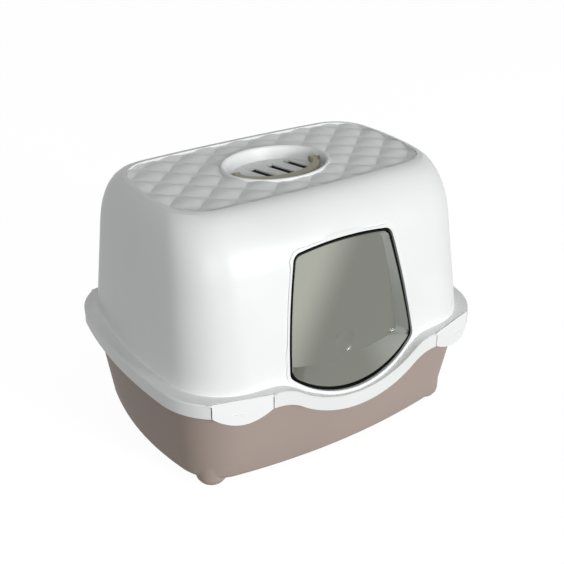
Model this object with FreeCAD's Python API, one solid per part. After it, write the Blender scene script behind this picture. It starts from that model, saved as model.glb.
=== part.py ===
import FreeCAD, Part
import math
import os

# Covered litter box: a tray, a hood with a quilted top, a swinging entry flap, a folding
# carry handle in a vented cup, four corner latches and a carbon filter under the vents.
# Millimetres. X runs along the long front, Y from front to back, Z up.
# The origin is on the floor under the middle of the box; the door faces -Y.

os.makedirs("parts", exist_ok=True)
V = FreeCAD.Vector

wall = 2.6
fit_gap = 0.3

hood_height = 425.0
ledge_height = 182.5
tray_floor = 9.0

# The skirt of the hood, level but for a dip in front of the door.
skirt_drop = 22.5
ledge_bevel = 1.8
wave_half_width = 143.0
wave_dip = 46.0
wave_radius = 180.0

# Plan sections: half length, half depth, bow of the front, bow of the side, corner radius, height.
skirt = [290.0, 235.0, 9.6, 9.1, 110.0, ledge_height]
hood_foot = [275.5, 228.0, 9.6, 9.1, 106.0, ledge_height - wave_dip - 10.0]
hood_edge = [248.0, 166.4, 6.6, 5.5, 75.0, hood_height]
hood_cap = [224.0, 118.0, 4.4, 4.2, 60.0, hood_height]
tray_edge = [259.4, 193.4, 16.0, 12.0, 75.0, tray_floor]
hood_turn = 0.73
tray_turn = 0.9

tray_inset = 14.0
tray_rounding = 32.0
rim_inset = 4.4
rim_lip = 11.0
rim_ease = 4.0
rim_drop = 8.0
foot_inset = 50.0
foot_flat = 6.0
foot_round = 19.0
foot_height = 44.0

door_drop = 56.5
door_sill = 4.3
door_half_top = 86.0
door_half_bottom = 113.5
door_top_bow = 7.0
door_side_bow = 3.45
door_bottom_bow = 47.0
door_round = 15.0
door_gap = 2.4
land_width = 5.0
land_height = 1.6

hinge_drop = 24.5
hinge_inset = 5.4
hinge_radius = 2.6
hinge_bite = 5.0
boss_half = 7.0

flap_rim = 2.4
flap_depth = 6.5
flap_wall = 2.2
bevel_top = 8.5
bevel_side = 9.0
bevel_low_side = 11.5
bevel_bottom = 33.0
panel_top_bow = 6.0
panel_side_bow = 3.0
panel_bottom_bow = 14.0
dish_top = 11.0
dish_bottom = 24.0
dimple_rise = 61.0
dimple_half = 19.0
dimple_depth = 3.0

quilt_depth = 5.0
quilt_half = 29.6
quilt_crown = 4.6
quilt_seam = 1.05

bowl_half_x = 84.6
bowl_half_y = 67.0
bowl_depth = 19.0
bowl_draft = 7.0
bowl_thickness = 3.0
collar_width = 5.0
collar_round = 2.0
collar_rise = 0.6
vent_count = 4
vent_pitch = 33.0
vent_length = 60.0
vent_width = 10.0
vent_slant = 16.0
vent_offset = 10.0
scoop_width = 15.0
scoop_depth = 2.0

handle_drop = 9.0
handle_gap = 10.0
handle_side = 11.0
handle_grip = 19.0
handle_thickness = 8.0
handle_bevel = 2.2
handle_boss = 5.6
handle_pin = 2.8

latch_margin = 7.0
latch_length = 91.6
latch_gap = 1.8
latch_drop = 13.0
latch_axis_inset = 2.0
latch_axis_drop = 2.2
latch_bar = 1.6
latch_pin = 1.3
latch_bite = 3.0
hook_half = 22.0
hook_lift = 0.5
hook_height = 5.0
catch_height = 4.0

filter_margin_x = 24.0
filter_margin_y = 30.0
filter_thickness = 8.0
filter_round = 10.0
grid_columns = 5
grid_rows = 3
grid_rib = 4.0

skirt_bottom = ledge_height - skirt_drop
tray_height = ledge_height - wall
door_top = hood_height - door_drop
door_bottom = ledge_height - wave_dip + door_sill
hinge_height = door_top - hinge_drop
quilt_floor = hood_height - quilt_depth
bowl_floor = hood_height - bowl_depth
handle_height = hood_height - handle_drop
filter_half_x = bowl_half_x - filter_margin_x
filter_half_y = bowl_half_y - filter_margin_y
filter_top = bowl_floor - bowl_thickness - fit_gap
foot_x = tray_edge[0] - foot_inset
foot_y = tray_edge[1] - foot_inset


def blend(first, second, share):
    """Section part of the way from the first to the second."""
    return [a + (b - a) * share for a, b in zip(first, second)]


def grown(section, by):
    """Section with its outline moved outward."""
    half_x, half_y, bow_front, bow_side, corner, height = section
    return [half_x + by, half_y + by, bow_front, bow_side, corner + by, height]


def raised(section, height):
    """Section moved to another height."""
    return section[:5] + [height]


def corner_centre(section):
    """Centre of the corner arc at the right of the front."""
    half_x, half_y, bow_front, bow_side, corner, height = section
    return V(half_x - corner - bow_side, corner + bow_front - half_y, height)


def front_centre(section):
    """Centre of the bowed front, whose arc is tangent to both corner arcs."""
    half_x, half_y, bow_front, bow_side, corner, height = section
    reach = corner_centre(section).x
    radius = (reach ** 2 + 2 * corner * bow_front + bow_front ** 2) / (2 * bow_front)
    return V(0, radius - half_y, height), radius


def side_centre(section):
    """Centre of the bowed side at the right, tangent to both corner arcs."""
    half_x, half_y, bow_front, bow_side, corner, height = section
    reach = corner_centre(section).y
    radius = (reach ** 2 + 2 * corner * bow_side + bow_side ** 2) / (2 * bow_side)
    return V(half_x - radius, 0, height), radius


def toward(start, through, distance):
    """Point at a distance from the start on the line through another point."""
    return start + (through - start).normalize() * distance


def plan_wire(section):
    """Closed outline of four bowed sides and four tangent corners."""
    half_x, half_y, bow_front, bow_side, corner, height = section
    centre = corner_centre(section)
    front, front_radius = front_centre(section)
    side, side_radius = side_centre(section)
    first = toward(front, centre, front_radius)
    last = toward(side, centre, side_radius)
    middle = toward(centre, (first + last) * 0.5, corner)
    quarter = [first, middle, last]
    points = [V(0, -half_y, height)] + quarter + [V(half_x, 0, height)]
    points += [V(p.x, -p.y, height) for p in reversed(quarter)] + [V(0, half_y, height)]
    points += [V(-p.x, -p.y, height) for p in quarter] + [V(-half_x, 0, height)]
    points += [V(-p.x, p.y, height) for p in reversed(quarter)]
    arcs = []
    for index in range(1, 17, 2):
        ends = points[index], points[(index + 1) % 16], points[(index + 2) % 16]
        arcs.append(Part.Arc(*ends).toShape())
    return Part.Wire(arcs)


def plan_prism(section, low, high):
    """Upright solid on a plan outline."""
    face = Part.Face(plan_wire(raised(section, low)))
    return face.extrude(V(0, 0, high - low))


def front_edge(section, x):
    """Depth of the outline's front half at a distance from the middle."""
    centre = corner_centre(section)
    front, front_radius = front_centre(section)
    if abs(x) <= toward(front, centre, front_radius).x:
        return front.y - math.sqrt(front_radius ** 2 - x ** 2)
    return centre.y - math.sqrt(section[4] ** 2 - (abs(x) - centre.x) ** 2)


def chord_end(section, start, length):
    """Point of the right front corner arc at a straight distance from a point of the front."""
    across = corner_centre(section) - start
    reach = across.Length
    along = (reach ** 2 + length ** 2 - section[4] ** 2) / (2 * reach)
    aside = math.sqrt(length ** 2 - along ** 2)
    across.normalize()
    return start + across * along + V(across.y, -across.x, 0) * aside


def rounded_form(open_end, edge, cap, turn, strips):
    """Solid with a straight drafted wall that turns over a shoulder of narrow strips into a flat cap."""
    start = blend(open_end, edge, turn)
    wires = []
    for step in range(4):
        wires.append(plan_wire(blend(open_end, start, step / 4)))
    for step in range(strips + 1):
        share = step / strips
        weights = (1 - share) ** 2, math.sqrt(2) * share * (1 - share), share ** 2
        total = sum(weights)
        mixed = zip(start, edge, cap)
        section = [(a * weights[0] + b * weights[1] + c * weights[2]) / total for a, b, c in mixed]
        wires.append(plan_wire(section))
    return Part.makeLoft(wires, True, True)


def hood_form(grow, lowered=0.0, strips=8):
    """The hood's outer form, grown or shrunk evenly."""
    edge = raised(grown(hood_edge, grow), hood_height - lowered)
    cap = raised(grown(hood_cap, grow), hood_height - lowered)
    return rounded_form(grown(hood_foot, grow), edge, cap, hood_turn, strips)


def below_wave(level, half_width=wave_half_width, dip=wave_dip):
    """Space under the parting surface, level but for the dip in front of the door."""
    angle = 2 * math.atan(dip / half_width)
    shoulder = half_width / math.sin(angle) - wave_radius
    low = level - dip + wave_radius
    high = level - shoulder
    turn_x = wave_radius * math.sin(angle)
    turn_z = low - wave_radius * math.cos(angle)
    half_x = half_width - shoulder * math.sin(angle / 2)
    half_z = high + shoulder * math.cos(angle / 2)
    reach = 2 * skirt[0]
    front = -reach
    left = [V(-reach, front, level), V(-half_width, front, level)]
    right = [V(half_width, front, level), V(reach, front, level)]
    floor = [V(reach, front, -reach), V(-reach, front, -reach)]
    edges = [
        Part.LineSegment(left[0], left[1]).toShape(),
        Part.Arc(left[1], V(-half_x, front, half_z), V(-turn_x, front, turn_z)).toShape(),
        Part.Arc(V(-turn_x, front, turn_z), V(0, front, level - dip), V(turn_x, front, turn_z)).toShape(),
        Part.Arc(V(turn_x, front, turn_z), V(half_x, front, half_z), right[0]).toShape(),
        Part.LineSegment(right[0], right[1]).toShape(),
        Part.LineSegment(right[1], floor[0]).toShape(),
        Part.LineSegment(floor[0], floor[1]).toShape(),
        Part.LineSegment(floor[1], left[0]).toShape(),
    ]
    waved = Part.Face(Part.Wire(edges)).extrude(V(0, reach, 0))
    back = Part.makeBox(2 * reach, reach, level + reach, V(-reach, 0, -reach))
    return waved.fuse(back).removeSplitter()


def top_edges(solid):
    """Edges where the solid's outer walls meet its upper faces."""
    found = []
    for edge in solid.Edges:
        level = 0
        upright = 0
        for face in solid.ancestorsOfType(edge, Part.Face):
            place = face.Surface.parameter(edge.valueAt(edge.FirstParameter))
            slope = face.normalAt(*place).z
            level += slope > 0.5
            upright += abs(slope) < 0.1
        if level and upright and edge.BoundBox.YLength > 1:
            found.append(edge)
    return found


def oval_stack(rings):
    """Solid through level ovals about the middle of the top: half length, half depth, height."""
    wires = []
    for half_x, half_y, height in rings:
        wires.append(Part.Wire(Part.Ellipse(V(0, 0, height), half_x, half_y).toShape()))
    return Part.makeLoft(wires, True, True)


def oval_taper(half_x, half_y, low, draft, high):
    """Oval solid that narrows by the draft toward its low end."""
    rings = []
    for step in range(4):
        share = step / 3
        inward = draft * (1 - share)
        rings.append((half_x - inward, half_y - inward, low + (high - low) * share))
    return oval_stack(rings)


def rounded_box(half_x, half_y, low, high, radius):
    """Upright box with rounded corners about the middle of the top."""
    box = Part.makeBox(2 * half_x, 2 * half_y, high - low, V(-half_x, -half_y, low))
    upright = [e for e in box.Edges if abs(e.tangentAt(e.FirstParameter).z) > 0.9]
    return box.makeFillet(radius, upright)


def bowed_face(half_top, half_bottom, top, bottom, bows, offset, plane):
    """Outline of four bowed sides with rounded corners, on a plane that may lean."""
    top_bow, side_bow, bottom_bow = bows
    high = top - top_bow
    low = bottom + bottom_bow
    side = (half_top + half_bottom) / 2 + side_bow
    right = [(half_top, high), (side, (high + low) / 2), (half_bottom, low)]
    left = [(-x, z) for x, z in reversed(right)]
    outline = [(0, top)] + right + [(0, bottom)] + left
    at_y, lean = plane
    points = [V(x, at_y + lean * z, z) for x, z in outline]
    arcs = []
    for index in range(1, 9, 2):
        ends = points[index], points[(index + 1) % 8], points[(index + 2) % 8]
        arcs.append(Part.Arc(*ends).toShape())
    sharp = Part.Face(Part.Wire(arcs))
    small = sharp.makeOffset2D(-door_round, 2)
    return small.makeOffset2D(door_round + offset, 0)


def door_face(offset, plane=(0.0, 0.0)):
    """Outline of the door opening, moved outward by the offset."""
    bows = door_top_bow, door_side_bow, door_bottom_bow
    return bowed_face(door_half_top, door_half_bottom, door_top, door_bottom, bows, offset, plane)


def panel_face(offset, plane):
    """Outline of the flap's set-back panel, moved outward by the offset."""
    bows = panel_top_bow, panel_side_bow, panel_bottom_bow
    half_top = door_half_top - bevel_side
    half_bottom = door_half_bottom - bevel_low_side
    return bowed_face(half_top, half_bottom, door_top - bevel_top, door_bottom + bevel_bottom, bows, offset, plane)


def door_half_width(height):
    """Half width of the door opening at a height on its sides."""
    high = door_top - door_top_bow
    low = door_bottom + door_bottom_bow
    share = (high - height) / (high - low)
    straight = door_half_top + (door_half_bottom - door_half_top) * share
    return straight + 4 * door_side_bow * share * (1 - share)


def front_prism(face):
    """Solid through the front wall with the outline of an upright face."""
    moved = face.translated(V(0, -skirt[1] - 50, 0))
    return moved.extrude(V(0, skirt[1], 0))


def front_plane():
    """The straight part of the hood's front: depth at floor level and lean."""
    lean = (hood_foot[1] - hood_edge[1]) / (hood_edge[5] - hood_foot[5])
    return -hood_foot[1] - lean * hood_foot[5], lean


def foot_form(x, y):
    """Domed knob that stands out of the tray's corner."""
    rings = [(foot_flat + foot_round, foot_height)]
    for angle in (90, 67, 45, 22, 0):
        turn = math.radians(angle)
        rings.append((foot_flat + foot_round * math.sin(turn), foot_round * (1 - math.cos(turn))))
    wires = []
    for radius, height in rings:
        circle = Part.Circle(V(x, y, height), V(0, 0, 1), radius)
        wires.append(Part.Wire(circle.toShape()))
    return Part.makeLoft(wires, True, True)


def tray_form(grow, strips):
    """The tray's outer form, grown or shrunk evenly."""
    top = raised(grown(skirt, grow - tray_inset), tray_height)
    edge = raised(grown(tray_edge, grow), tray_floor - grow)
    cap = grown(edge, -tray_rounding)
    return rounded_form(top, edge, cap, tray_turn, strips)


def make_tray():
    """Tray with a turned rim, four feet and a catch for each latch."""
    outer = tray_form(0.0, 6)
    inner = tray_form(-wall, 4)
    for x in (-foot_x, foot_x):
        for y in (-foot_y, foot_y):
            outer = outer.fuse(foot_form(x, y))
    wave = wave_half_width + rim_ease, wave_dip + rim_drop
    rim_top = below_wave(tray_height, *wave)
    rim_under = below_wave(tray_height - wall, *wave)
    lip_under = below_wave(tray_height - rim_lip, *wave)
    lip = grown(skirt, -rim_inset)
    base = skirt_bottom - wave_dip - latch_drop
    rim = plan_prism(lip, base, tray_height).cut(lip_under)
    hollow = plan_prism(grown(lip, -wall), base, tray_height).common(rim_under)
    rim = rim.cut(hollow)
    for side in latch_sides():
        rim = rim.cut(side.block(side.half + 14, -5.2, 30, base, ledge_height))
    tray = outer.fuse(rim).cut(inner).common(rim_top)
    bar_clear = latch_axis_inset + latch_bar + 2 * fit_gap
    catch_low = skirt_bottom + hook_lift + hook_height + 0.5
    for side in latch_sides():
        catch = side.block(hook_half + 2, -16, 1.2, catch_low, catch_low + catch_height)
        tray = tray.fuse(catch.cut(inner))
        tray = tray.cut(side.block(side.half + 14, -bar_clear, 30, tray_height - bar_clear, ledge_height))
    return tray.removeSplitter()


class LatchSide:
    """One latch position: a straight hinge line across a rounded corner of the skirt."""

    def __init__(self, name, sign_x, sign_y):
        self.name = name
        start = wave_half_width + latch_margin
        near = V(start, front_edge(skirt, start), skirt[5])
        far = chord_end(skirt, near, latch_length)
        middle = (near + far) * 0.5
        along = (far - near).normalize()
        self.half = latch_length / 2
        self.middle = V(middle.x * sign_x, -middle.y * sign_y, 0)
        self.along = V(along.x * sign_x, -along.y * sign_y, 0)
        self.outward = V(along.y * sign_x, along.x * sign_y, 0)

    def point(self, along, outward, height):
        """World point from distances along the hinge, outward and up."""
        return self.middle + self.along * along + self.outward * outward + V(0, 0, height)

    def span(self, start, end, inside, outside, low, high):
        """Box squared to the hinge line between two distances along it."""
        corners = [
            self.point(start, inside, low),
            self.point(end, inside, low),
            self.point(end, outside, low),
            self.point(start, outside, low),
        ]
        face = Part.Face(Part.makePolygon(corners + corners[:1]))
        return face.extrude(V(0, 0, high - low))

    def block(self, half, inside, outside, low, high):
        """Box squared to the hinge line, even about its middle."""
        return self.span(-half, half, inside, outside, low, high)

    def rod(self, half, radius):
        """Round bar on the hinge line, even about its middle."""
        start = self.point(-half, -latch_axis_inset, ledge_height - latch_axis_drop)
        return Part.makeCylinder(radius, 2 * half, start, self.along)


def latch_sides():
    """The four latch positions, front ones first."""
    return [
        LatchSide("latch_front_left", -1, -1),
        LatchSide("latch_front_right", 1, -1),
        LatchSide("latch_rear_left", -1, 1),
        LatchSide("latch_rear_right", 1, 1),
    ]


def latch_window(side, half):
    """Space seen from outside as the latch: straight ends and top, and a drooping lower edge."""
    behind = -30
    high = ledge_height
    low = skirt_bottom - latch_drop
    corners = [
        side.point(-half, behind, skirt_bottom),
        side.point(-half, behind, high),
        side.point(half, behind, high),
        side.point(half, behind, skirt_bottom),
    ]
    edges = [Part.LineSegment(a, b).toShape() for a, b in zip(corners, corners[1:])]
    edges.append(Part.Arc(corners[3], side.point(0, behind, low), corners[0]).toShape())
    return Part.Face(Part.Wire(edges)).extrude(side.outward * 60)


def under_facet(side, half, inset):
    """Space behind the slanting facet that runs down from the hinge line."""
    edge = fit_gap - latch_axis_inset - inset
    profile = [(-40, 0), (-40, ledge_height), (edge, ledge_height), (edge + 30, ledge_height - 60), (edge + 30, 0)]
    corners = [side.point(-half - 5, outward, height) for outward, height in profile]
    face = Part.Face(Part.makePolygon(corners + corners[:1]))
    return face.extrude(side.along * (2 * half + 10))


def make_latch(side):
    """Curved latch plate with a straight hinge bar, end pins and an inner hook."""
    half = side.half - latch_gap
    base = skirt_bottom - latch_drop - 5
    axis_height = ledge_height - latch_axis_drop
    outer = plan_prism(skirt, base, ledge_height).common(under_facet(side, half, 0.0))
    inner = plan_prism(grown(skirt, -wall), base - 5, ledge_height + 5)
    inner = inner.common(under_facet(side, half, wall))
    plate = outer.cut(inner).common(latch_window(side, half))
    plate = plate.cut(side.block(half + 5, -40, -latch_axis_inset, axis_height, ledge_height + 5))
    bar = side.rod(half, latch_bar)
    pins = side.rod(side.half + latch_bite, latch_pin)
    hook_low = skirt_bottom + hook_lift
    hook = side.block(hook_half, 1.5, 30, hook_low, hook_low + hook_height)
    hook = hook.common(plan_prism(skirt, base, ledge_height))
    latch = plate.fuse([bar, pins, hook])
    clear = side.block(half + latch_gap, -40, -latch_axis_inset - latch_bar, base - 5, ledge_height + 5)
    return latch.cut(clear).removeSplitter()


def latch_seats(hood):
    """Hood with a notch, two bored lugs and a straight ledge edge at each latch."""
    corner = plan_prism(skirt, skirt_bottom, ledge_height)
    for side in latch_sides():
        half = side.half
        for end in (-1, 1):
            start, stop = sorted((end * (half - 0.2), end * (half + latch_bite + 2)))
            lug = side.span(start, stop, -5, 8, ledge_height - 7, ledge_height)
            hood = hood.fuse(lug.common(corner))
        inside = -latch_axis_inset - latch_bar - fit_gap
        hood = hood.cut(side.block(half, inside, 30, skirt_bottom - 20, ledge_height + 5))
        hood = hood.cut(side.rod(half + latch_bite + 0.4, latch_pin + fit_gap))
    return hood


def hinge_axis_y():
    """Depth of the flap's hinge line behind the hood's front."""
    share = (hinge_height - hood_foot[5]) / (hood_height - hood_foot[5])
    return front_edge(blend(hood_foot, hood_edge, share), door_half_width(hinge_height)) + hinge_inset


def hinge_rod(start, end, radius):
    """Round bar on the flap's hinge line."""
    return Part.makeCylinder(radius, end - start, V(start, hinge_axis_y(), hinge_height), V(1, 0, 0))


def hinge_bosses(outer):
    """Two blocks behind the front wall, beside the door, that carry the flap's pins."""
    inside = door_half_width(hinge_height) - 3
    width = hinge_bite + 3 + wall
    blocks = []
    for start in (inside, -inside - width):
        corner = V(start, hinge_axis_y() - 3 * boss_half, hinge_height - boss_half)
        block = Part.makeBox(width, 4 * boss_half - 1, 2 * boss_half, corner)
        blocks.append(block.common(outer))
    return blocks


def make_hood():
    """Hood shell with skirt, ledge, door opening, quilt recess, cup hole and latch seats."""
    outer = hood_form(0.0)
    bosses = hinge_bosses(outer)
    land = front_prism(door_face(land_width)).common(hood_form(land_height))
    base = skirt_bottom - wave_dip - 10
    flange = plan_prism(skirt, base, ledge_height).common(below_wave(ledge_height)).removeSplitter()
    flange = flange.makeChamfer(ledge_bevel, top_edges(flange))
    under_ledge = plan_prism(grown(skirt, -wall), base - 5, ledge_height).common(below_wave(ledge_height - wall))
    hood = outer.fuse([land, flange])
    hood = hood.cut(hood_form(-wall, quilt_depth + wall, 4)).cut(under_ledge).cut(below_wave(skirt_bottom))
    hood = hood.cut(plan_prism(grown(hood_cap, -1.5), quilt_floor, hood_height + 10))
    clear = wall + fit_gap
    hole = bowl_half_x + clear, bowl_half_y + clear
    hood = hood.cut(oval_stack([(*hole, quilt_floor - 2 * wall), (*hole, quilt_floor + wall)]))
    hood = hood.fuse(bosses).cut(front_prism(door_face(0.0)))
    reach = door_half_width(hinge_height) + hinge_bite + 2 * fit_gap
    hood = hood.cut(hinge_rod(-reach, reach, hinge_radius + fit_gap))
    return latch_seats(hood).removeSplitter()


def vent_cut(x):
    """Slanting slot through the cup floor with a sloping scoop on one side."""
    half = vent_length / 2
    low = bowl_floor - 2 * bowl_thickness
    slot = Part.makeBox(vent_width, vent_length, 4 * bowl_thickness, V(-vent_width / 2, -half, low))
    upright = [e for e in slot.Edges if abs(e.tangentAt(e.FirstParameter).z) > 0.9]
    slot = slot.makeFillet(vent_width / 2 - 0.1, upright)
    start = vent_width / 2 - half
    scoop = [V(0, start, bowl_floor - scoop_depth), V(0, start, bowl_floor + 1), V(scoop_width, start, bowl_floor + 1)]
    wedge = Part.Face(Part.makePolygon(scoop + scoop[:1])).extrude(V(0, vent_length - vent_width, 0))
    vent = slot.fuse(wedge)
    vent.rotate(V(0, 0, 0), V(0, 0, 1), vent_slant)
    return vent.translated(V(x, vent_offset, 0))


def make_handle_cup():
    """Drop-in oval cup with a rounded collar, vent slots, pivot holes and a seat for the filter."""
    top = hood_height + collar_rise
    out_x = bowl_half_x + collar_width
    out_y = bowl_half_y + collar_width
    rings = [(out_x, out_y, quilt_floor)]
    for angle in (0, 30, 60, 90):
        turn = math.radians(angle)
        inward = collar_round * (1 - math.cos(turn))
        rings.append((out_x - inward, out_y - inward, top - collar_round * (1 - math.sin(turn))))
    cup = oval_stack(rings)
    under = bowl_floor - bowl_thickness
    cup = cup.fuse(oval_taper(bowl_half_x + wall, bowl_half_y + wall, under, bowl_draft, quilt_floor))
    seat_low = filter_top - filter_thickness
    seat = rounded_box(filter_half_x + wall, filter_half_y + wall, seat_low, under + 2, filter_round + 2)
    seat = seat.cut(rounded_box(filter_half_x, filter_half_y, seat_low - 1, under, filter_round))
    cup = cup.fuse(seat)
    cup = cup.cut(oval_taper(bowl_half_x, bowl_half_y, bowl_floor, bowl_draft, top))
    lip = bowl_half_x + collar_round, bowl_half_y + collar_round
    cup = cup.cut(oval_taper(*lip, top - collar_round, collar_round + 1, top + 0.4))
    for index in range(vent_count):
        cup = cup.cut(vent_cut((index - (vent_count - 1) / 2) * vent_pitch))
    reach = bowl_half_x + wall
    pivot = Part.makeCylinder(handle_pin + fit_gap, 2 * reach, V(-reach, 0, handle_height), V(1, 0, 0))
    return cup.cut(pivot).removeSplitter()


def make_quilted_panel():
    """Inlay of domed diamonds cut to the recess outline and to the cup's collar."""
    bulge = quilt_crown - quilt_seam
    radius = (quilt_half ** 2 + bulge ** 2) / (2 * bulge)
    high = quilt_floor + 4 * quilt_crown
    ball = Part.makeSphere(radius, V(0, 0, quilt_floor + quilt_crown - radius), V(1, 1, 0))
    corners = [V(quilt_half, 0, quilt_floor), V(0, quilt_half, quilt_floor)]
    corners += [V(-quilt_half, 0, quilt_floor), V(0, -quilt_half, quilt_floor)]
    diamond = Part.Face(Part.makePolygon(corners + corners[:1])).extrude(V(0, 0, high - quilt_floor))
    pillow = diamond.common(ball)
    columns = int(hood_cap[0] / quilt_half) + 1
    rows = int(hood_cap[1] / quilt_half) + 1
    cells = []
    for row in range(-rows, rows + 1):
        for column in range(-columns, columns + 1):
            if (row + column) % 2 == 0:
                cells.append(pillow.translated(V(column * quilt_half, row * quilt_half, 0)))
    field = cells[0].multiFuse(cells[1:])
    ring = plan_prism(grown(hood_cap, -2.3), quilt_floor, high)
    hole = collar_width + 0.4
    oval = bowl_half_x + hole, bowl_half_y + hole
    ring = ring.cut(oval_stack([(*oval, quilt_floor - 1), (*oval, high + 1)]))
    return field.common(ring).removeSplitter()


def finger_dimple(panel):
    """Round dimple for a push on the flap's panel: the added back and the hollow in front."""
    at_floor, slope = panel
    height = door_bottom + dimple_rise
    centre = V(0, at_floor + slope * height, height)
    outward = V(0, -1, slope).normalize()
    radius = (dimple_half ** 2 + dimple_depth ** 2) / (2 * dimple_depth)
    middle = centre + outward * (radius - dimple_depth)
    depth = dimple_depth + flap_wall
    back = Part.makeCylinder(dimple_half + flap_wall, depth, centre, -outward)
    back = back.common(Part.makeSphere(radius + flap_wall, middle, V(1, 0, 0)))
    front = Part.makeCylinder(dimple_half + flap_wall, depth + 1, centre + outward, -outward)
    return back, front.common(Part.makeSphere(radius, middle, V(1, 0, 0)))


def make_flap():
    """Smoked flap: a rim flush with the front, a bevelled dish with a dimple, and two hinge pins."""
    at_floor, lean = front_plane()
    front = at_floor + 4, lean
    high = door_top - bevel_top - panel_top_bow
    low = door_bottom + bevel_bottom + panel_bottom_bow
    slope = lean + (dish_top - dish_bottom) / (high - low)
    panel = at_floor + lean * high + dish_top - slope * high, slope
    behind = panel[0] + flap_wall, slope
    outline = -door_gap
    rim = front_prism(door_face(outline)).cut(front_prism(door_face(outline - flap_rim)))
    rim = rim.common(hood_form(0.0)).cut(hood_form(-flap_depth, flap_depth))
    back = [door_face(outline - 1.0, front).OuterWire, panel_face(0, behind).OuterWire]
    hollow = [door_face(outline - 1.0 - flap_rim, front).OuterWire, panel_face(-flap_wall, panel).OuterWire]
    added, dimple = finger_dimple(panel)
    dish = Part.makeLoft(back, True, True).cut(Part.makeLoft(hollow, True, True))
    dish = dish.fuse(added).cut(dimple)
    edge = door_half_width(hinge_height)
    start, stop = edge - door_gap - 2 * hinge_radius, edge + hinge_bite
    pins = [hinge_rod(start, stop, hinge_radius), hinge_rod(-stop, -start, hinge_radius)]
    return rim.fuse([dish] + pins).removeSplitter()


def make_handle():
    """Half-oval bail lying forward in the cup, with pivot bosses and pins."""
    half = handle_thickness / 2
    out_x, out_y = bowl_half_x - handle_gap, bowl_half_y - handle_gap
    in_x, in_y = out_x - handle_side, out_y - handle_grip
    levels = [(-half, handle_bevel), (handle_bevel - half, 0), (half - handle_bevel, 0), (half, handle_bevel)]
    outer = oval_stack([(out_x - b, out_y - b, handle_height + z) for z, b in levels])
    inner = oval_stack([(in_x + b, in_y + b, handle_height + z) for z, b in levels])
    back = Part.makeBox(4 * out_x, 2 * out_y, 40, V(-2 * out_x, 0, handle_height - 20))
    bail = outer.cut(inner).cut(back)
    length = bowl_half_x + 0.4 - in_x - handle_side / 2
    for start, pin_start in ((in_x, in_x + handle_side / 2), (-out_x, -bowl_half_x - 0.4)):
        boss = Part.makeCylinder(handle_boss, handle_side, V(start, 0, handle_height), V(1, 0, 0))
        boss = boss.makeChamfer(1.0, [e for e in boss.Edges if e.Closed])
        pin = Part.makeCylinder(handle_pin, length, V(pin_start, 0, handle_height), V(1, 0, 0))
        bail = bail.fuse([boss, pin])
    return bail.removeSplitter()


def make_filter_pad():
    """Carbon pad under the vents."""
    half_x = filter_half_x - fit_gap
    half_y = filter_half_y - fit_gap
    return rounded_box(half_x, half_y, filter_top - filter_thickness, filter_top, filter_round - fit_gap)


def make_filter_holder():
    """Clip-on grid that carries the pad and grips the outside of its seat."""
    high = filter_top - filter_thickness
    in_x = filter_half_x + wall + fit_gap
    in_y = filter_half_y + wall + fit_gap
    holder = rounded_box(in_x + 2, in_y + 2, high - 2.4, high + 6, filter_round + 4)
    holder = holder.cut(rounded_box(in_x, in_y, high, high + 7, filter_round + 2))
    pitch_x = (2 * filter_half_x - grid_rib) / grid_columns
    pitch_y = (2 * filter_half_y - grid_rib) / grid_rows
    for column in range(grid_columns):
        for row in range(grid_rows):
            x = grid_rib + column * pitch_x - filter_half_x
            y = grid_rib + row * pitch_y - filter_half_y
            holder = holder.cut(Part.makeBox(pitch_x - grid_rib, pitch_y - grid_rib, 4, V(x, y, high - 3)))
    return holder


nodes = {
    "tray": make_tray(),
    "hood": make_hood(),
    "handle_cup": make_handle_cup(),
    "quilted_panel": make_quilted_panel(),
    "entry_flap": make_flap(),
    "carry_handle": make_handle(),
    "filter_pad": make_filter_pad(),
    "filter_holder": make_filter_holder(),
}
for side in latch_sides():
    nodes[side.name] = make_latch(side)
for name, shape in nodes.items():
    shape.exportStep("parts/" + name + ".step")
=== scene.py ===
import math

import bmesh
import bpy
import numpy as np
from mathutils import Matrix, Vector


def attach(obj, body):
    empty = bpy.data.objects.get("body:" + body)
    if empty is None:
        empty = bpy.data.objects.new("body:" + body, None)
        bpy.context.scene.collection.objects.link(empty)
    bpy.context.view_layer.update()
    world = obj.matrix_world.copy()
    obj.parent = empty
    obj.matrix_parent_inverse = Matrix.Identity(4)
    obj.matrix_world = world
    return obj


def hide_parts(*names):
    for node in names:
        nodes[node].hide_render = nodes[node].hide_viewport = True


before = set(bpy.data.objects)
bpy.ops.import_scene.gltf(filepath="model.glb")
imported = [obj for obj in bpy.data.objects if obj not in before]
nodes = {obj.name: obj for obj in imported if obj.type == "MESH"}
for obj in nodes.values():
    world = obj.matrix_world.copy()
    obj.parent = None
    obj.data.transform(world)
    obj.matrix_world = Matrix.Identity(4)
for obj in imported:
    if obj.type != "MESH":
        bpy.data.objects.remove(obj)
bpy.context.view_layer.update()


# Tray: the deep lower half that holds the litter, injection moulded in taupe polypropylene,
# with flared walls, a large bottom rounding and four knob feet. The hood's skirt sits over its rim.

def linear(code):
    """Linear RGBA of an sRGB hex colour: the standard two-part sRGB curve undone per channel."""
    parts = [int(code[i:i + 2], 16) / 255 for i in (1, 3, 5)]
    return [c / 12.92 if c <= 0.04045 else ((c + 0.055) / 1.055) ** 2.4 for c in parts] + [1.0]


def add(tree, kind, links=(), inputs=(), **settings):
    """Adds a node with its settings, values for its inputs, and links from (node, output) to an input."""
    node = tree.nodes.new(kind)
    for name, value in settings.items():
        setattr(node, name, value)
    for name, value in dict(inputs).items():
        node.inputs[name].default_value = value
    for name, (source, output) in dict(links).items():
        tree.links.new(source.outputs[output], node.inputs[name])
    return node


def blank(name):
    """A node material with nothing in it yet."""
    material = bpy.data.materials.new(name)
    material.use_nodes = True
    material.node_tree.nodes.clear()
    return material, material.node_tree


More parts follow.
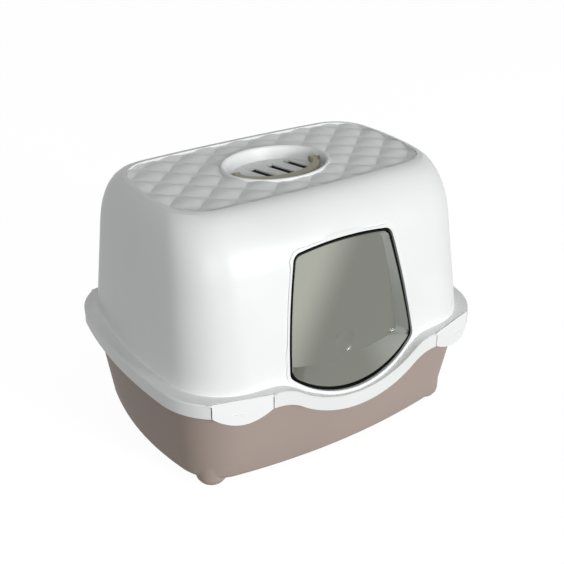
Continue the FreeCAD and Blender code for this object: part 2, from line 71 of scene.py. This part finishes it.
def moulded_plastic(name, code, roughness, grit, relief, shine=0.5):
    """Injection-moulded plastic: a body colour with a faint cloudy tone, a spark-eroded grit of a size in mm
    as bump, drawn coarser than the real grit so that it shows, and gloss that wanders with the moulding."""
    cloud_width, darkest, lightest, wander = 111.1, 0.975, 1.015, 0.04
    grit_depth = 0.0004
    material, tree = blank(name)
    place = add(tree, "ShaderNodeTexCoord")
    cloud = add(tree, "ShaderNodeTexNoise", {"Vector": (place, "Object")},
                {"Scale": 1000 / cloud_width, "Detail": 2.0})
    tone = add(tree, "ShaderNodeValToRGB", {"Fac": (cloud, "Fac")})
    for stop, position, share in zip(tone.color_ramp.elements, (0.3, 0.7), (darkest, lightest)):
        stop.position = position
        stop.color = [min(1, c * share) for c in linear(code)[:3]] + [1]
    gloss = add(tree, "ShaderNodeMapRange", {"Value": (cloud, "Fac")},
                {"To Min": roughness - wander, "To Max": roughness + wander})
    grain = add(tree, "ShaderNodeTexNoise", {"Vector": (place, "Object")},
                {"Scale": 1000 / grit, "Detail": 3.0, "Roughness": 0.6})
    bump = add(tree, "ShaderNodeBump", {"Height": (grain, "Fac")},
               {"Strength": relief, "Distance": grit_depth})
    shader = add(tree, "ShaderNodeBsdfPrincipled",
                 {"Base Color": (tone, "Color"), "Roughness": (gloss, "Result"),
                  "Normal": (bump, "Normal")},
                 {"IOR": 1.49, "Specular IOR Level": shine})
    add(tree, "ShaderNodeOutputMaterial", {"Surface": (shader, "BSDF")})
    return material


def joined(node, reach=0.00002, sliver=0.00001):
    """Copy of a solid's mesh with its loose triangles joined at their borders."""
    mesh = nodes[node].data.copy()
    mesh.name = node + "_skin"
    form = bmesh.new()
    form.from_mesh(mesh)
    bmesh.ops.remove_doubles(form, verts=form.verts, dist=reach)
    bmesh.ops.dissolve_degenerate(form, edges=form.edges, dist=sliver)
    form.to_mesh(mesh)
    form.free()
    mesh.materials.clear()
    if "custom_normal" in mesh.attributes:
        mesh.attributes.remove(mesh.attributes["custom_normal"])
    return mesh


def even_skin(node, body, material, angle, mesh=None):
    """A moulding's skin: the solid's triangles shaded as one smooth surface, with a crease
    kept only where two faces meet at more than the angle in degrees."""
    mesh = mesh or joined(node)
    mesh.materials.append(material)
    mesh.shade_smooth()
    mesh.set_sharp_from_angle(angle=math.radians(angle))
    skin = bpy.data.objects.new(node + "_skin", mesh)
    bpy.context.scene.collection.objects.link(skin)
    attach(skin, body)
    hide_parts(node)
    return skin


# Taupe polypropylene looks waxy and matt, with hardly any shine on its steep walls.
taupe = moulded_plastic("taupe_polypropylene", "#B1A299", roughness=0.55, grit=1.2, relief=0.10, shine=0.15)
even_skin("tray", "base", taupe, angle=32)


# Hood: the white upper half, one injection-moulded polypropylene shell with a wide skirt that rests on
# the tray, a raised land that rolls softly into the front round the door, and a recess on top.

door_top, door_bottom = 0.3685, 0.1408
door_half_top, door_half_bottom = 0.0860, 0.1135
door_top_bow, door_side_bow, door_bottom_bow = 0.0070, 0.00345, 0.0470
door_round = 0.015
land_width, land_roll = 0.0050, 0.0020
ledge_clear, clear_rise = 0.188, 0.012
edge_slack, slope_step = 0.0002, 0.0001


def points_of(mesh):
    """The mesh's points as rows of x, y and z."""
    flat = np.empty(len(mesh.vertices) * 3)
    mesh.vertices.foreach_get("co", flat)
    return flat.reshape(-1, 3)


def bowed_side(x, z, first, middle, last):
    """Distance inside a bowed side of the door: radius of the circle through three points less the
    distance from its centre, with the centre where the two chords' bisectors meet."""
    (ax, az), (bx, bz), (cx, cz) = first, middle, last
    turn = 2 * (ax * (bz - cz) + bx * (cz - az) + cx * (az - bz))
    squares = ax ** 2 + az ** 2, bx ** 2 + bz ** 2, cx ** 2 + cz ** 2
    centre_x = (squares[0] * (bz - cz) + squares[1] * (cz - az) + squares[2] * (az - bz)) / turn
    centre_z = (squares[0] * (cx - bx) + squares[1] * (ax - cx) + squares[2] * (bx - ax)) / turn
    radius = math.hypot(ax - centre_x, az - centre_z)
    return radius - np.hypot(x - centre_x, z - centre_z)


def inside_door(x, z):
    """Distance inside the door's outline in the front view: the two nearest bowed sides, joined by the
    corner's radius where both are nearer than that radius."""
    high, low = door_top - door_top_bow, door_bottom + door_bottom_bow
    side = (door_half_top + door_half_bottom) / 2 + door_side_bow
    middle = (high + low) / 2
    sides = np.sort([
        bowed_side(x, z, (-door_half_top, high), (0, door_top), (door_half_top, high)),
        bowed_side(x, z, (door_half_top, high), (side, middle), (door_half_bottom, low)),
        bowed_side(x, z, (-door_half_top, high), (-side, middle), (-door_half_bottom, low)),
        bowed_side(x, z, (-door_half_bottom, low), (0, door_bottom), (door_half_bottom, low)),
    ], axis=0)
    near = np.maximum(door_round - sides[0], 0), np.maximum(door_round - sides[1], 0)
    return np.where(sides[0] > door_round, sides[0], door_round - np.hypot(*near))


def soften_land(mesh):
    """Slopes the land's flank: its front edge moves inward and its foot outward along the hood's front,
    by equal shares of the roll, where the flank stands clear of the ledge."""
    place = points_of(mesh)
    x, y, z = place.T
    edge = (np.abs(inside_door(x, z) + land_width) < edge_slack) & (y < 0)
    x, y, z = place[edge].T
    shape = np.stack([np.ones_like(x), z, x ** 2], axis=1)
    front = np.linalg.lstsq(shape, y, rcond=None)[0]
    foot = y > shape @ front
    inward_x = (inside_door(x + slope_step, z) - inside_door(x - slope_step, z)) / (2 * slope_step)
    inward_z = (inside_door(x, z + slope_step) - inside_door(x, z - slope_step)) / (2 * slope_step)
    clear = np.clip((z - ledge_clear) / clear_rise, 0, 1)
    move = np.where(foot, -land_roll, land_roll) * clear
    moved_x, moved_z = x + move * inward_x, z + move * inward_z
    moved_y = y + front[1] * (moved_z - z) + front[2] * (moved_x ** 2 - x ** 2)
    place[edge] = np.stack([moved_x, moved_y, moved_z], axis=1)
    mesh.vertices.foreach_set("co", place.ravel())
    mesh.update()


# White polypropylene with a satin gloss: bright where it faces the light, with soft broad highlights.
white = moulded_plastic("white_polypropylene", "#F0F2F1", roughness=0.40, grit=1.0, relief=0.06)
shell = joined("hood")
soften_land(shell)
even_skin("hood", "hood", white, angle=16, mesh=shell)


# Quilted panel: a white moulded inlay that drops into the recess of the hood's top, with pillows in a
# diamond lattice moulded into it. It ends at the recess's wall and at the collar of the handle cup.

quilt_floor, quilt_seam, quilt_crown = 0.4200, 0.0009, 0.0046
diamond_half_x, diamond_half_y = 0.0306, 0.0300
recess_half_x, recess_half_y, recess_corner = 0.2217, 0.1157, 0.0577
recess_bow_front, recess_bow_side = 0.0044, 0.0042
collar_half_x, collar_half_y = 0.0900, 0.0724
arc_samples = 200
quilt_merge, quilt_sliver, quilt_crease = 0.0002, 0.0001, 12


def tangent_radius(reach, bow):
    """Radius of a bowed side that runs tangent into the corner arc, from the corner's reach and the bow."""
    return (reach ** 2 + 2 * recess_corner * bow + bow ** 2) / (2 * bow)


def recess_reach(angle):
    """Distance from the middle to the recess's wall at a polar angle of the first quarter: a bowed front,
    a corner arc tangent to it and a bowed side tangent to the corner, sampled and read off by angle."""
    centre_x = recess_half_x - recess_corner - recess_bow_side
    centre_y = recess_half_y - recess_corner - recess_bow_front
    front = tangent_radius(centre_x, recess_bow_front)
    side = tangent_radius(centre_y, recess_bow_side)
    front_y, side_x = recess_half_y - front, recess_half_x - side
    first = math.atan2(centre_y - front_y, centre_x)
    last = math.atan2(centre_y, centre_x - side_x)
    arcs = [(side_x, 0, side, 0, last), (centre_x, centre_y, recess_corner, last, first),
            (0, front_y, front, first, math.pi / 2)]
    x = np.concatenate([cx + r * np.cos(np.linspace(a, b, arc_samples)) for cx, cy, r, a, b in arcs])
    y = np.concatenate([cy + r * np.sin(np.linspace(a, b, arc_samples)) for cx, cy, r, a, b in arcs])
    return np.interp(angle, np.arctan2(y, x), np.hypot(x, y))


def quilt(steps, cells):
    """Closed inlay on a grid along the two seam directions. Height is the seam plus a crown that falls off
    as one minus the square of the distance from the pillow's middle, in each direction. Points past the
    wall or inside the collar are drawn along their ray to that border, and a wall goes down to the floor."""
    grid = np.arange(-cells * steps, cells * steps + 1) / steps
    along, across = np.meshgrid(grid, grid, indexing="ij")
    x, y = diamond_half_x * (along + across), diamond_half_y * (across - along)
    reach, angle = np.hypot(x, y), np.arctan2(np.abs(y), np.abs(x))
    outer = recess_reach(angle)
    inner = 1 / np.hypot(np.cos(angle) / collar_half_x, np.sin(angle) / collar_half_y)
    held = np.clip(reach, inner, outer)
    within = held == reach
    x, y = (value * held / np.maximum(reach, 1e-9) for value in (x, y))
    along = (x / diamond_half_x - y / diamond_half_y) / 2
    across = (x / diamond_half_x + y / diamond_half_y) / 2
    fall = [1 - (2 * (value - np.round(value))) ** 2 for value in (along, across)]
    z = quilt_floor + quilt_seam + (quilt_crown - quilt_seam) * fall[0] * fall[1]
    index = np.arange(x.size).reshape(x.shape)
    corners = np.stack([index[:-1, :-1], index[1:, :-1], index[1:, 1:], index[:-1, 1:]], axis=-1)
    corners = corners.reshape(-1, 4)
    top = corners[within.ravel()[corners].any(axis=1)]
    used, top = np.unique(top, return_inverse=True)
    top = top.reshape(-1, 4)
    surface = np.stack([x, y, z], axis=-1).reshape(-1, 3)[used]
    count = len(surface)
    under = surface * (1, 1, 0) + (0, 0, quilt_floor)
    edges = np.stack([top, np.roll(top, -1, axis=1)], axis=-1).reshape(-1, 2)
    which, times = np.unique(np.sort(edges, axis=1), axis=0, return_inverse=True, return_counts=True)[1:]
    rim = edges[times[which.ravel()] == 1]
    wall = np.stack([rim[:, 0], rim[:, 0] + count, rim[:, 1] + count, rim[:, 1]], axis=1)
    return np.concatenate([surface, under]), np.concatenate([top, top[:, ::-1] + count, wall])


points, faces = quilt(steps=16, cells=7)
mesh = bpy.data.meshes.new("quilted_inlay")
mesh.from_pydata(points.tolist(), [], faces.tolist())
form = bmesh.new()
form.from_mesh(mesh)
bmesh.ops.remove_doubles(form, verts=form.verts, dist=quilt_merge)
bmesh.ops.dissolve_degenerate(form, edges=form.edges, dist=quilt_sliver)
form.to_mesh(mesh)
form.free()
mesh.materials.append(white)
mesh.shade_smooth()
mesh.set_sharp_from_angle(angle=math.radians(quilt_crease))
inlay = bpy.data.objects.new("quilted_inlay", mesh)
bpy.context.scene.collection.objects.link(inlay)
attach(inlay, "hood")
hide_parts("quilted_panel")


# Handle cup: a white drop-in moulding with a rounded collar, slanting vents in its floor and a seat
# underneath for the filter. It is pressed into the oval hole of the recess.

cup_floor, cup_floor_thickness = 0.4060, 0.0030
vent_count, vent_pitch, vent_offset, vent_slant = 4, 0.0330, 0.0100, 16
vent_half_length, vent_half_width = 0.0300, 0.0050
scoop_edge, vent_spread = 0.0100, 0.0040
side_slack, floor_slack = 0.0005, 0.0003


def widen_vents(mesh):
    """Draws each vent's right side further right in the slanted frame of the vent: the slot's half grows in
    proportion to its distance from the middle line, and the scoop beside it moves along as a whole."""
    place = points_of(mesh)
    floor_depth = np.abs(place[:, 2] - cup_floor + cup_floor_thickness / 2)
    in_floor = floor_depth < cup_floor_thickness / 2 + floor_slack
    turn = math.radians(vent_slant)
    along = np.array([-math.sin(turn), math.cos(turn)])
    across = np.array([math.cos(turn), math.sin(turn)])
    for middle in (np.arange(vent_count) - (vent_count - 1) / 2) * vent_pitch:
        local = place[:, :2] - (middle, vent_offset)
        right, back = local @ across, local @ along
        near = (in_floor & (right > 0) & (right < scoop_edge + side_slack)
                & (np.abs(back) < vent_half_length + side_slack))
        share = np.clip(right[near] / vent_half_width, 0, 1)
        place[near, :2] += vent_spread * share[:, None] * across
    mesh.vertices.foreach_set("co", place.ravel())
    mesh.update()


cup = joined("handle_cup")
widen_vents(cup)
even_skin("handle_cup", "hood", white, angle=24, mesh=cup)


# Filter: a black felt pad of carbon-coated fibre that lies under the vents, and the white moulded grid
# below it, which sits in the cup's seat and holds the pad up.

fibre_width, pile_depth = 1.5, 0.001

# Carbon felt is a dead, uneven black without gloss. Its fibres are drawn coarser than real ones to show.
felt, tree = blank("carbon_felt")
place = add(tree, "ShaderNodeTexCoord")
fibre = add(tree, "ShaderNodeTexNoise", {"Vector": (place, "Object")},
            {"Scale": 1000 / fibre_width, "Detail": 6.0, "Roughness": 0.75, "Distortion": 0.6})
tone = add(tree, "ShaderNodeValToRGB", {"Fac": (fibre, "Fac")})
tone.color_ramp.elements[0].color = linear("#08090A")
tone.color_ramp.elements[1].color = linear("#2A2C2F")
pile = add(tree, "ShaderNodeBump", {"Height": (fibre, "Fac")}, {"Strength": 0.6, "Distance": pile_depth})
shader = add(tree, "ShaderNodeBsdfPrincipled",
             {"Base Color": (tone, "Color"), "Normal": (pile, "Normal")},
             {"Roughness": 0.95, "Specular IOR Level": 0.15})
add(tree, "ShaderNodeOutputMaterial", {"Surface": (shader, "BSDF")})
even_skin("filter_pad", "hood", felt, angle=30)
even_skin("filter_holder", "hood", white, angle=30)


# Carry handle: a flat khaki bail, moulded in polypropylene with a boss and a pin at each end.
# The pins turn in holes of the cup's wall, and the bail lies folded forward in the cup.

# Khaki polypropylene is polished by the hand that lifts it, so its rounded edges catch a narrow light.
khaki = moulded_plastic("khaki_polypropylene", "#A09A80", roughness=0.38, grit=1.0, relief=0.08)
even_skin("carry_handle", "handle", khaki, angle=30)


# Entry flap: one moulding in smoked clear styrene that swings on two pins behind the front. The thick rim is
# near-black, the deep styrene edge on and painted shade of the gap round the door, while the dished panel is
# thin and hazy.

door_gap, flap_rim, rim_slack = 0.0024, 0.0024, 0.0002
bevel_cosine = 0.9
flow_width = 71.4


def smoked_styrene(name, slope, span, first, last, clear):
    """Smoked clear styrene with painted light and shade: its tone turns smoothly from the first to the last
    where x plus the slope times z crosses the span, under a bright gloss that wanders as the melt flowed,
    and the clear share lets light straight through."""
    material, tree = blank(name)
    place = add(tree, "ShaderNodeTexCoord")
    slant = add(tree, "ShaderNodeVectorMath", {0: (place, "Object")}, {1: (1.0, 0.0, slope)},
                operation="DOT_PRODUCT")
    # Painted light: the share of the paler tone along the slant.
    painted_light_share = add(tree, "ShaderNodeMapRange", {"Value": (slant, "Value")},
               {"From Min": span[0], "From Max": span[1]}, interpolation_type="SMOOTHSTEP")
    tint = add(tree, "ShaderNodeMix", {"Factor": (painted_light_share, "Result")}, {6: linear(first), 7: linear(last)},
               data_type="RGBA")
    swirl = add(tree, "ShaderNodeTexNoise", {"Vector": (place, "Object")},
                {"Scale": 1000 / flow_width, "Detail": 1.0})
    gloss = add(tree, "ShaderNodeMapRange", {"Value": (swirl, "Fac")}, {"To Min": 0.08, "To Max": 0.14})
    shader = add(tree, "ShaderNodeBsdfPrincipled",
                 {"Base Color": (tint, 2), "Roughness": (gloss, "Result")},
                 {"IOR": 1.55, "Alpha": 1 - clear})
    add(tree, "ShaderNodeOutputMaterial", {"Surface": (shader, "BSDF")})
    return material


# The thin panel is a hazy grey with painted light, paler at the upper left, and the bevel round it has
# painted light, paler to the right.
smoked = smoked_styrene("smoked_styrene", slope=-0.58, span=(-0.245, -0.155),
                        first="#B7B9AD", last="#84867D", clear=0.2)
# The bevel's paler right side is painted light, a lit copy of the panel's deep tone.
bevel = smoked_styrene("smoked_styrene_bevel", slope=0.0, span=(0.02, 0.11),
                       first="#84867D", last="#B6BAB3", clear=0.1)

# Seen edge on, the same styrene is so deep that it looks black, with only a dull gloss, and this near-black
# is also painted shade of the gap round the door.
rim_black_and_gap_shade, tree = blank("smoked_styrene_rim")
place = add(tree, "ShaderNodeTexCoord")
swirl = add(tree, "ShaderNodeTexNoise", {"Vector": (place, "Object")},
            {"Scale": 1000 / flow_width, "Detail": 1.0})
gloss = add(tree, "ShaderNodeMapRange", {"Value": (swirl, "Fac")}, {"To Min": 0.45, "To Max": 0.55})
shader = add(tree, "ShaderNodeBsdfPrincipled", {"Roughness": (gloss, "Result")},
             {"Base Color": linear("#050505"), "IOR": 1.55, "Specular IOR Level": 0.05})
add(tree, "ShaderNodeOutputMaterial", {"Surface": (shader, "BSDF")})

pane = joined("entry_flap")
even_skin("entry_flap", "flap", smoked, angle=12, mesh=pane)
pane.materials.append(rim_black_and_gap_shade)
pane.materials.append(bevel)
centres = np.empty(len(pane.polygons) * 3)
pane.polygons.foreach_get("center", centres)
centres = centres.reshape(-1, 3)
# The rim band takes the near-black that is also painted shade of the gap round the door.
on_rim_and_gap_shade = inside_door(centres[:, 0], centres[:, 2]) < door_gap + flap_rim + rim_slack
normals = np.empty(len(pane.polygons) * 3)
pane.polygons.foreach_get("normal", normals)
on_bevel = ~on_rim_and_gap_shade & (np.abs(normals[1::3]) < bevel_cosine)
pane.polygons.foreach_set("material_index", (on_rim_and_gap_shade + 2 * on_bevel).astype(np.int32))


# Latches: four white moulded clips at the skirt's corners. Each swings on two pins in a pocket of the skirt,
# and its hook reaches under a catch on the tray. Its outer face is one plate to the eye.

plate_normal = np.array([0.261, 0.900, 0.348])
plate_spread = 0.7


def even_plate(mesh, outward):
    """Shades the latch's outer faces as one plate: every corner of a face that looks along the outward
    direction, by a cosine above the spread, takes that direction as its normal."""
    normals = np.empty(len(mesh.polygons) * 3)
    mesh.polygons.foreach_get("normal", normals)
    counts = np.empty(len(mesh.polygons), dtype=np.int32)
    mesh.polygons.foreach_get("loop_total", counts)
    corners = np.empty(len(mesh.loops) * 3)
    mesh.corner_normals.foreach_get("vector", corners)
    corners = corners.reshape(-1, 3)
    on_plate = np.repeat(normals.reshape(-1, 3) @ outward > plate_spread, counts)
    corners[on_plate] = outward
    mesh.normals_split_custom_set(corners.tolist())


for end, side in (("front_left", (-1, -1, 1)), ("front_right", (1, -1, 1)),
                  ("rear_left", (-1, 1, 1)), ("rear_right", (1, 1, 1))):
    latch = even_skin("latch_" + end, "latch_" + end, white, angle=30)
    even_plate(latch.data, plate_normal * side)


# Studio: a pale paper floor that keeps the shadow, a white sky behind it that only the camera and mirrored
# rays see at full strength, a softbox from the right, a weaker one from the left, and the camera.

floor_half, floor_glow = 6.0, 0.94
sky_level = 0.265
lamp_distance, aim_height = 5.0, 0.25
focal_length, sensor_width = 58.85, 36.0
camera_place, camera_yaw, camera_pitch = (-0.7242, -1.1215, 0.9237), 33.28, 27.92


def light_paths(tree):
    """Share of rays that see the backdrop as the camera does: camera, glossy or transmitted."""
    path = add(tree, "ShaderNodeLightPath")
    first = add(tree, "ShaderNodeMath", {0: (path, "Is Camera Ray"), 1: (path, "Is Glossy Ray")},
                operation="MAXIMUM")
    return add(tree, "ShaderNodeMath", {0: (first, 0), 1: (path, "Is Transmission Ray")},
               operation="MAXIMUM")


mesh = bpy.data.meshes.new("studio_floor")
ends = ((-1, -1), (1, -1), (1, 1), (-1, 1))
mesh.from_pydata([(x * floor_half, y * floor_half, 0) for x, y in ends], [], [(0, 1, 2, 3)])
floor = bpy.data.objects.new("studio_floor", mesh)
bpy.context.scene.collection.objects.link(floor)
# Matt paper shows only as white with the soft shadow under the box.
paper, tree = blank("white_paper")
seen = light_paths(tree)
lift = add(tree, "ShaderNodeMath", {0: (seen, 0)}, {1: floor_glow}, operation="MULTIPLY")
glow = add(tree, "ShaderNodeEmission", {"Strength": (lift, 0)}, {"Color": (1, 1, 1, 1)})
matt = add(tree, "ShaderNodeBsdfDiffuse", (), {"Color": linear("#6E6E6E")})
both = add(tree, "ShaderNodeAddShader", {0: (glow, 0), 1: (matt, 0)})
add(tree, "ShaderNodeOutputMaterial", {"Surface": (both, 0)})
mesh.materials.append(paper)

world = bpy.data.worlds.new("studio")
bpy.context.scene.world = world
world.use_nodes = True
tree = world.node_tree
tree.nodes.clear()
seen = light_paths(tree)
level = add(tree, "ShaderNodeMapRange", {"Value": (seen, 0)}, {"To Min": sky_level, "To Max": 1.0})
sky = add(tree, "ShaderNodeBackground", {"Strength": (level, "Result")}, {"Color": (1, 1, 1, 1)})
add(tree, "ShaderNodeOutputWorld", {"Surface": (sky, 0)})


def softbox(name, azimuth, elevation, size, power):
    """A square area lamp turned to the box, at degrees to the right of its front and above the floor."""
    turn, rise = math.radians(azimuth), math.radians(elevation)
    target = Vector((0, 0, aim_height))
    level = math.cos(rise)
    away = Vector((math.sin(turn) * level, -math.cos(turn) * level, math.sin(rise)))
    lamp = bpy.data.lights.new(name, "AREA")
    lamp.shape = "SQUARE"
    lamp.size = size
    lamp.energy = power
    box = bpy.data.objects.new(name, lamp)
    box.location = target + away * lamp_distance
    box.rotation_euler = (-away).to_track_quat("-Z", "Y").to_euler()
    bpy.context.scene.collection.objects.link(box)


softbox("key_softbox", azimuth=16, elevation=11, size=1.0, power=136)
softbox("fill_softbox", azimuth=-30, elevation=12, size=2.2, power=70)

lens = bpy.data.cameras.new("camera")
lens.lens = focal_length
lens.sensor_width = sensor_width
camera = bpy.data.objects.new("camera", lens)
yaw, pitch = math.radians(camera_yaw), math.radians(camera_pitch)
ahead = Vector((math.sin(yaw) * math.cos(pitch), math.cos(yaw) * math.cos(pitch), -math.sin(pitch)))
camera.location = camera_place
camera.rotation_euler = ahead.to_track_quat("-Z", "Y").to_euler()
bpy.context.scene.collection.objects.link(camera)
bpy.context.scene.camera = camera
bpy.context.scene.view_settings.view_transform = "Standard"
